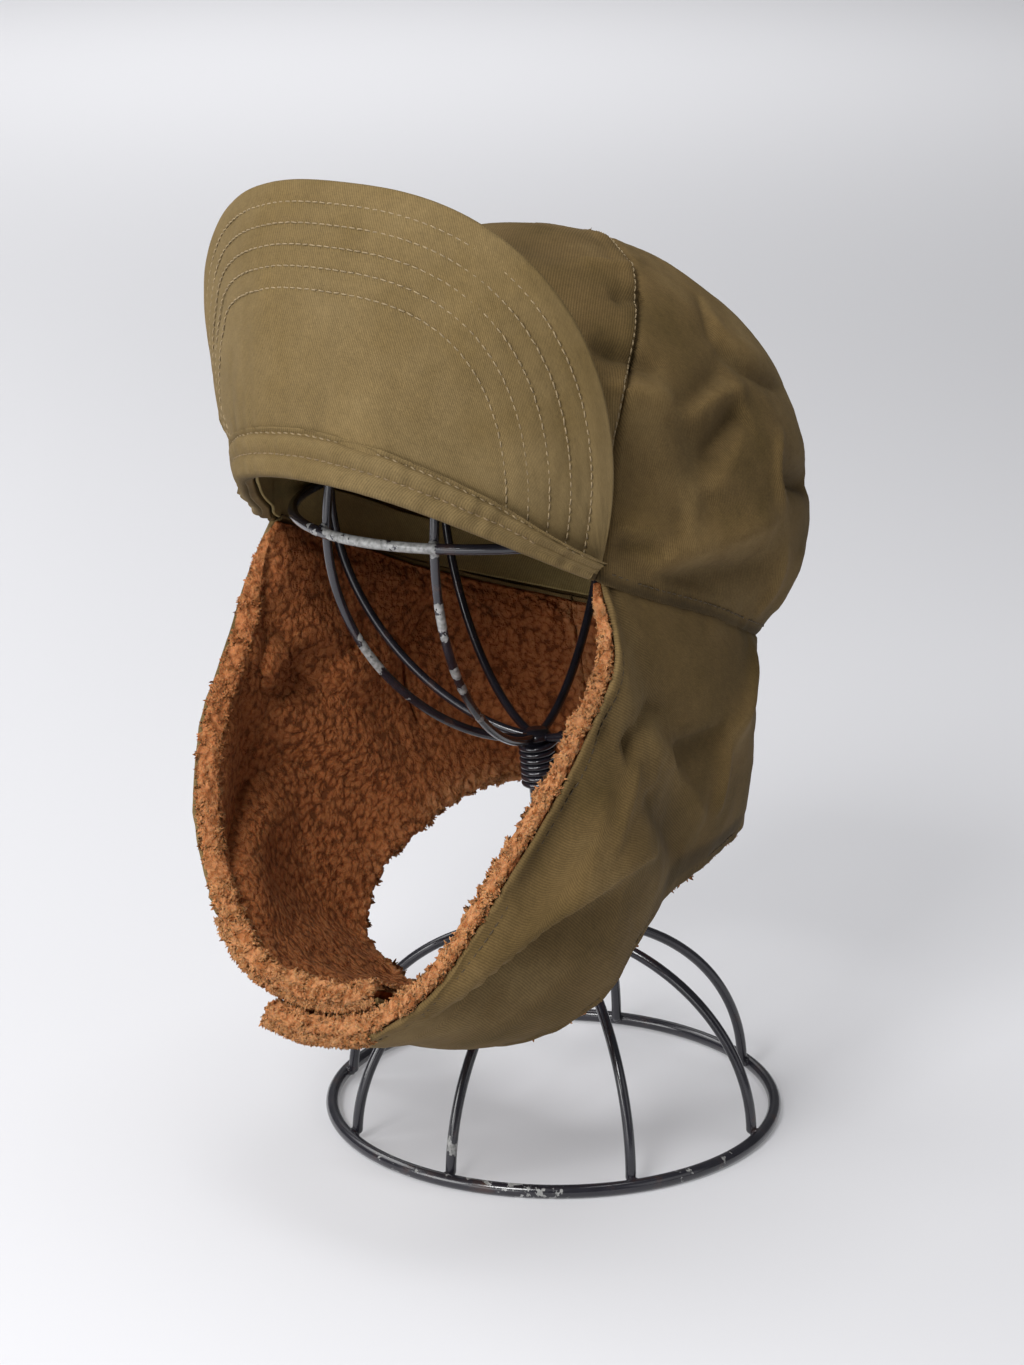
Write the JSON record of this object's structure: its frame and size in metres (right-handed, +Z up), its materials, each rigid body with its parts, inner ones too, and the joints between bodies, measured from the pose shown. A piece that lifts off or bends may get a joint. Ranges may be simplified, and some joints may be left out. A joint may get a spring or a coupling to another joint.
{
  "type": "bomber cap on wire hat stand",
  "caption": "Bomber cap with a turned-up peak and fleece-lined ear and neck flaps crossed under the chin, worn on a wire hat stand with a round base.",
  "frame": {"origin": "on the ground under the middle of the outer box, 27 mm in front of the middle of the base ring", "axes": "+Z up, -Y the way the wearer faces, +X the wearer's left"},
  "size_m": [0.171, 0.2342, 0.3538],
  "materials": {
    "twill": "matte olive brown cotton twill with paler topstitching",
    "twill_lining": "matte olive twill band inside the rim",
    "pile": "curly rust brown fleece pile",
    "wire": "worn black paint with silver showing where it is chipped"
  },
  "bodies": {
    "root": {"crown_front": "twill", "crown_side_left": "twill", "crown_side_right": "twill", "crown_back": "twill", "peak": "twill", "peak_band": "twill", "ear_flap_left": "twill", "ear_flap_right": "twill", "neck_flap": "twill", "sweatband": "twill_lining", "lining_left": "pile", "lining_right": "pile", "lining_neck": "pile", "base_ring": "wire", "base_rib_1": "wire", "base_rib_2": "wire", "base_rib_3": "wire", "base_rib_4": "wire", "base_rib_5": "wire", "base_rib_6": "wire", "base_rib_7": "wire", "base_rib_8": "wire", "neck_stem": "wire", "neck_coil": "wire", "head_ring": "wire", "cage_wire_1": "wire", "cage_wire_2": "wire", "cage_wire_3": "wire", "cage_wire_4": "wire", "cage_wire_5": "wire", "cage_wire_6": "wire", "cage_boss": "wire"}
  },
  "joints": []
}
